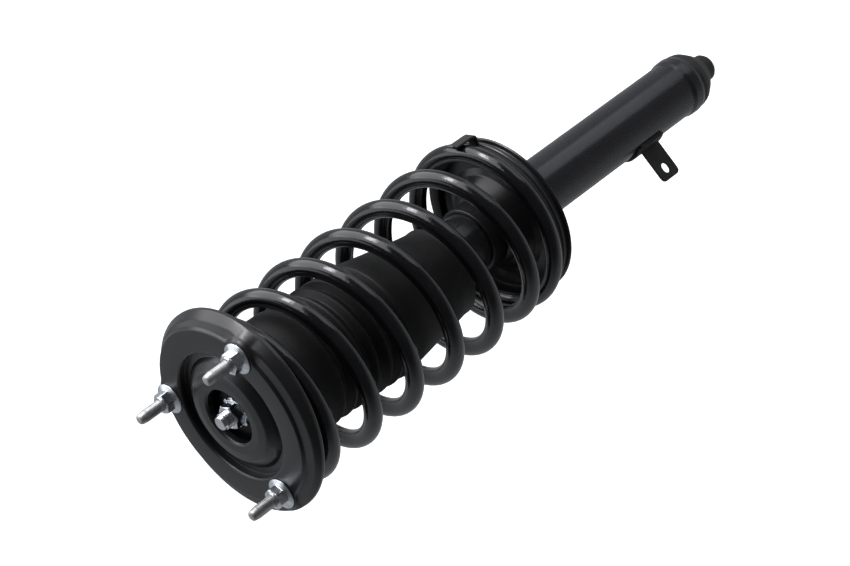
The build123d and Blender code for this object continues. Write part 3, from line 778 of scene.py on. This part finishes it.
def make_seat():
    """Pressed lower seat: hub, flared floor, double-lipped rim and stop tab."""
    floor, low = SEAT_FLOOR_Z, SEAT_LOW_Z
    shell = lathe([
        (25.6, -274.0, 0.6), (28.6, -274.0, 0.9), (28.6, floor + 19.0, 3.0), (33.6, floor + 11.0, 4.0),
        (43.0, floor + 2.0, 4.0), (49.0, floor, 3.0), (71.4, floor, 1.2), (72.0, floor - 1.6, 0.8),
        (70.8, floor - 3.2, 0.8), (67.6, floor - 4.4, 0.8), (67.6, low + 3.2, 0.8), (70.6, low + 2.4, 0.8),
        (71.5, low + 1.0, 0.6), (70.4, low, 0.6), (64.5, low, 1.0), (64.5, floor - 3.0, 1.0),
        (46.0, floor - 3.0, 2.0), (31.0, floor + 7.0, 2.0), (29.6, floor - 6.0, 1.0),
        (25.6, floor - 8.0, 0.5),
    ], segments=240)
    finish_piece("seat_pressing", shell, "black_paint", "strut_body", ["spring_seat"], sharp=45.0)
    make_tab(floor)
    top = floor + PAD_T
    pad = lathe([(60.0, floor, 0.3), (71.0, floor, 0.6), (71.0, top, 0.8), (60.0, top, 0.8)])
    finish_piece("lower_pad_rubber", pad, "rubber", "strut_body", ["lower_pad"])


def ease_edges(piece, width):
    """Rounds a piece's sharp edges by a width in millimetres."""
    bevel = piece.modifiers.new("ease", "BEVEL")
    bevel.width = width * MM
    bevel.segments = 3
    bevel.limit_method = "ANGLE"


def make_tab(floor):
    """Stop tab bent up from the floor, with its tip eased outward."""
    top = TAB_TOP_Z
    path = [(66.0, floor - 0.5), (77.2, floor - 0.5), (78.6, floor + 0.3), (79.3, floor + 1.6),
            (79.5, floor + 4.0), (79.6, top - 3.0), (79.9, top - 1.4), (80.8, top - 0.3), (82.4, top + 0.4)]
    bm = bmesh.new()
    rows = []
    points = [Vector(p) for p in path]
    last = len(points) - 1
    for i, p in enumerate(points):
        along = (points[min(last, i + 1)] - points[max(0, i - 1)]).normalized()
        side = Vector((-along.y, along.x)) * TAB_T / 2.0
        width = TAB_W / 2.0 - (0.9 if i == last else 0.0)
        row = []
        for sign in (1.0, -1.0):
            q = p + side * sign
            row.append([bm.verts.new((q.x, w * width, q.y)) for w in (-1.0, -0.5, 0.0, 0.5, 1.0)])
        rows.append(row)
    for a, b in zip(rows, rows[1:]):
        for k in range(4):
            bm.faces.new((a[0][k], a[0][k + 1], b[0][k + 1], b[0][k]))
            bm.faces.new((a[1][k + 1], a[1][k], b[1][k], b[1][k + 1]))
        for k in (0, 4):
            bm.faces.new((a[0][k], b[0][k], b[1][k], a[1][k]))
    for row in (rows[0], rows[-1]):
        for k in range(4):
            bm.faces.new((row[0][k], row[0][k + 1], row[1][k + 1], row[1][k]))
    bmesh.ops.rotate(bm, verts=bm.verts, cent=(0, 0, 0), matrix=Matrix.Rotation(math.radians(TAB_AZ), 3, "Z"))
    ease_edges(finish_piece("stop_tab", bm, "black_paint", "strut_body", None), 0.5)


def add_ear(bm):
    """Flat ear with rounded corners and an oblong hole, in the bracket's own frame."""
    outer, hole = [], []
    steps = 72
    centre = Vector((HOLE_AT, 0.0))
    for k in range(steps):
        a = TAU * k / steps
        d = Vector((math.cos(a), math.sin(a)))
        reach = box_reach(d, BRACKET_REACH - HOLE_AT, HOLE_AT - BRACKET_START, BRACKET_HALF_W, 4.5)
        outer.append(centre + d * reach)
        stretch = HOLE_STRETCH if d.x > 0 else -HOLE_STRETCH
        hole.append(centre + d * HOLE_R + Vector((stretch, 0.0)))
    loops = []
    for y in (-BRACKET_T / 2.0, BRACKET_T / 2.0):
        loops.append([[bm.verts.new((p.x, y, p.y)) for p in line] for line in (outer, hole)])
    for k in range(steps):
        n = (k + 1) % steps
        for (o, h), flip in zip(loops, (False, True)):
            quad = (o[k], o[n], h[n], h[k])
            bm.faces.new(tuple(reversed(quad)) if flip else quad)
        bm.faces.new((loops[0][0][k], loops[1][0][k], loops[1][0][n], loops[0][0][n]))
        bm.faces.new((loops[0][1][n], loops[1][1][n], loops[1][1][k], loops[0][1][k]))


def add_foot(bm):
    """Curved foot of the bracket that lies against the tube."""
    arc, rows, levels = math.radians(FOOT_HALF_ARC), 28, 18
    low = -BRACKET_HALF_W
    heights = [low + (FOOT_TOP - low) * j / levels for j in range(levels + 1)]
    angles = [-arc + 2.0 * arc * i / rows for i in range(rows + 1)]
    skins = []
    for r in (TUBE_R + 0.1, TUBE_R + 0.1 + BRACKET_T):
        skins.append([[bm.verts.new((r * math.cos(a), r * math.sin(a), z)) for z in heights] for a in angles])
    for i in range(rows):
        for j in range(levels):
            for skin, flip in zip(skins, (True, False)):
                quad = (skin[i][j], skin[i + 1][j], skin[i + 1][j + 1], skin[i][j + 1])
                bm.faces.new(tuple(reversed(quad)) if flip else quad)
    rim = [(i, 0) for i in range(rows)] + [(rows, j) for j in range(levels)]
    rim += [(i, levels) for i in range(rows, 0, -1)] + [(0, j) for j in range(levels, 0, -1)]
    for (i, j), (m, n) in zip(rim, rim[1:] + rim[:1]):
        bm.faces.new((skins[0][i][j], skins[0][m][n], skins[1][m][n], skins[1][i][j]))


def make_bracket():
    """Hose bracket: curved foot with weld beads and a flat ear."""
    bm = bmesh.new()
    add_ear(bm)
    add_foot(bm)
    place = Matrix.Translation((0, 0, BRACKET_Z)) @ Matrix.Rotation(math.radians(BRACKET_AZ), 4, "Z")
    bmesh.ops.transform(bm, matrix=place, verts=bm.verts)
    ear = finish_piece("hose_ear", bm, "bracket_paint", "strut_body", ["hose_bracket"], sharp=35.0)
    ease_edges(ear, 0.45)
    make_welds(place)


def box_reach(d, right, left, half_w, corner):
    """Distance from the hole's centre to a rounded box's edge in a direction."""
    limit_x = right if d.x > 0.0 else left
    reach = min(limit_x / max(1e-6, abs(d.x)), half_w / max(1e-6, abs(d.y)))
    if d.x <= 0.0:
        return reach
    cx, cy = right - corner, half_w - corner
    hit = d * reach
    if hit.x > cx and abs(hit.y) > cy:
        c = Vector((cx, cy if d.y > 0 else -cy))
        b = d.dot(c)
        reach = b + math.sqrt(max(0.0, b * b - c.dot(c) + corner * corner))
    return reach


def make_welds(place):
    """Two weld beads along the straight edges of the bracket's foot."""
    bm = bmesh.new()
    steps, sides = 90, 10
    for sign in (-1.0, 1.0):
        a = sign * math.radians(29.2)
        rings = []
        for i in range(steps + 1):
            z = -8.0 + 28.0 * i / steps
            swell = 1.25 + 0.22 * math.sin(i * TAU / 7.5) + 0.2 * noise.noise(Vector((z * 0.6, sign, 0.0)))
            swell *= min(1.0, 0.35 + min(i, steps - i) * 0.16)
            c = Vector((TUBE_R + 0.5, 0.0, z))
            ring = []
            for k in range(sides):
                b = TAU * k / sides
                p = c + Vector((math.cos(b) * swell, math.sin(b) * swell * 1.2, 0.0))
                ring.append(bm.verts.new(Matrix.Rotation(a, 3, "Z") @ p))
            rings.append(ring)
        for p, q in zip(rings, rings[1:]):
            for k in range(sides):
                n = (k + 1) % sides
                bm.faces.new((p[k], p[n], q[n], q[k]))
        bm.faces.new(list(reversed(rings[0])))
        bm.faces.new(rings[-1])
    bmesh.ops.transform(bm, matrix=place, verts=bm.verts)
    finish_piece("bracket_welds", bm, "bracket_paint", "strut_body", None)


# ---- camera, floor and light -------------------------------------------------------------------
def make_camera():
    """Camera at the photographed angle: above the mount, with the strut's foot far off."""
    data = bpy.data.cameras.new("camera")
    data.sensor_width = 36.0
    data.lens = 107.26
    data.clip_start, data.clip_end = 0.05, 50.0
    data.dof.use_dof = False
    camera = bpy.data.objects.new("camera", data)
    bpy.context.scene.collection.objects.link(camera)
    right = Vector((-0.24149, -0.70673, -0.66499))
    up = Vector((0.85318, 0.17187, -0.49248))
    back = Vector((0.46234, -0.68629, 0.56147))
    matrix = Matrix((right, up, back)).transposed().to_4x4()
    matrix.translation = Vector((0.93315, -1.39681, 0.92414))
    camera.matrix_world = matrix
    bpy.context.scene.camera = camera
    return camera


def area_light(name, place, target, size, power, color):
    """Rectangular soft light that faces a target."""
    data = bpy.data.lights.new(name, "AREA")
    data.shape = "RECTANGLE"
    data.size = size[0]
    data.size_y = size[1]
    data.energy = power
    data.color = color
    light = bpy.data.objects.new(name, data)
    bpy.context.scene.collection.objects.link(light)
    light.location = place
    light.rotation_mode = "QUATERNION"
    light.rotation_quaternion = (target - place).to_track_quat("-Z", "Y")


def make_stage():
    """Pale floor under the nub, and a soft surround: light behind and below, dim in front."""
    floor_z = CAD_BOX[0].z - FLOOR_DROP
    bm = bmesh.new()
    bmesh.ops.create_circle(bm, cap_ends=True, radius=FLOOR_R, segments=96)
    mesh = bpy.data.meshes.new("floor")
    bm.to_mesh(mesh)
    bm.free()
    floor = bpy.data.objects.new("floor", mesh)
    floor.location = (0.0, 0.0, floor_z)
    floor.visible_glossy = False
    bpy.context.scene.collection.objects.link(floor)
    m = Paint("floor_white", (0.92, 0.92, 0.92), 0.85, specular=0.1)
    m.color(m.ramp(m.noise(0.6, 3.0), [(0.3, 0.90), (0.7, 0.94)]))
    m.shader.inputs["Emission Color"].default_value = (1.0, 1.0, 1.0, 1.0)
    m.shader.inputs["Emission Strength"].default_value = FLOOR_GLOW
    mesh.materials.append(m.mat)
    bpy.context.scene.world = make_surround()
    bpy.context.scene.view_settings.view_transform = "Standard"


def make_surround():
    """World that is light towards SURROUND_TO and dim the other way; the view itself sees white."""
    world = bpy.data.worlds.new("studio")
    world.use_nodes = True
    tree = world.node_tree
    room = tree.nodes["Background"]
    coord = tree.nodes.new("ShaderNodeTexCoord")
    toward = tree.nodes.new("ShaderNodeVectorMath")
    toward.operation = "DOT_PRODUCT"
    toward.inputs[1].default_value = SURROUND_TO
    tree.links.new(coord.outputs["Generated"], toward.inputs[0])
    spread = tree.nodes.new("ShaderNodeMapRange")
    spread.interpolation_type = "SMOOTHSTEP"
    spread.inputs["From Min"].default_value = SURROUND_EDGE[0]
    spread.inputs["From Max"].default_value = SURROUND_EDGE[1]
    spread.inputs["To Min"].default_value = SURROUND_DIM
    spread.inputs["To Max"].default_value = SURROUND_LIGHT
    tree.links.new(toward.outputs["Value"], spread.inputs["Value"])
    room.inputs["Color"].default_value = (0.93, 0.96, 1.0, 1.0)
    tree.links.new(spread.outputs["Result"], room.inputs["Strength"])
    white = tree.nodes.new("ShaderNodeBackground")
    white.inputs["Color"].default_value = (1.0, 1.0, 1.0, 1.0)
    white.inputs["Strength"].default_value = 1.0
    path = tree.nodes.new("ShaderNodeLightPath")
    choose = tree.nodes.new("ShaderNodeMixShader")
    tree.links.new(path.outputs["Is Camera Ray"], choose.inputs["Fac"])
    tree.links.new(room.outputs["Background"], choose.inputs[1])
    tree.links.new(white.outputs["Background"], choose.inputs[2])
    tree.links.new(choose.outputs["Shader"], tree.nodes["World Output"].inputs["Surface"])
    return world


def make_lights():
    """Soft lights, placed once in the directions of the main view."""
    target = Vector(STAGE_TARGET)
    camera = bpy.context.scene.camera.matrix_world
    right, up, back = (camera.col[i].to_3d() for i in range(3))
    for name, (x, y, z), size, power, color in LIGHTS:
        place = target + right * x + up * y + back * z
        area_light(name, place, target, size, power, color)


# ---- assembly ------------------------------------------------------------------------------------
for entry in frame["record"]["subparts"]:
    node = NODES[entry["node"]]
    node.data.materials.clear()
    node.data.materials.append(MATERIALS[entry["material_slot"]])

make_mount_face()
make_mount_rest()
make_studs()
make_nuts()
make_rod()
make_rod_end()
make_spring()
make_boot()
make_damper()
make_seat()
make_bracket()
make_camera()
make_stage()
make_lights()
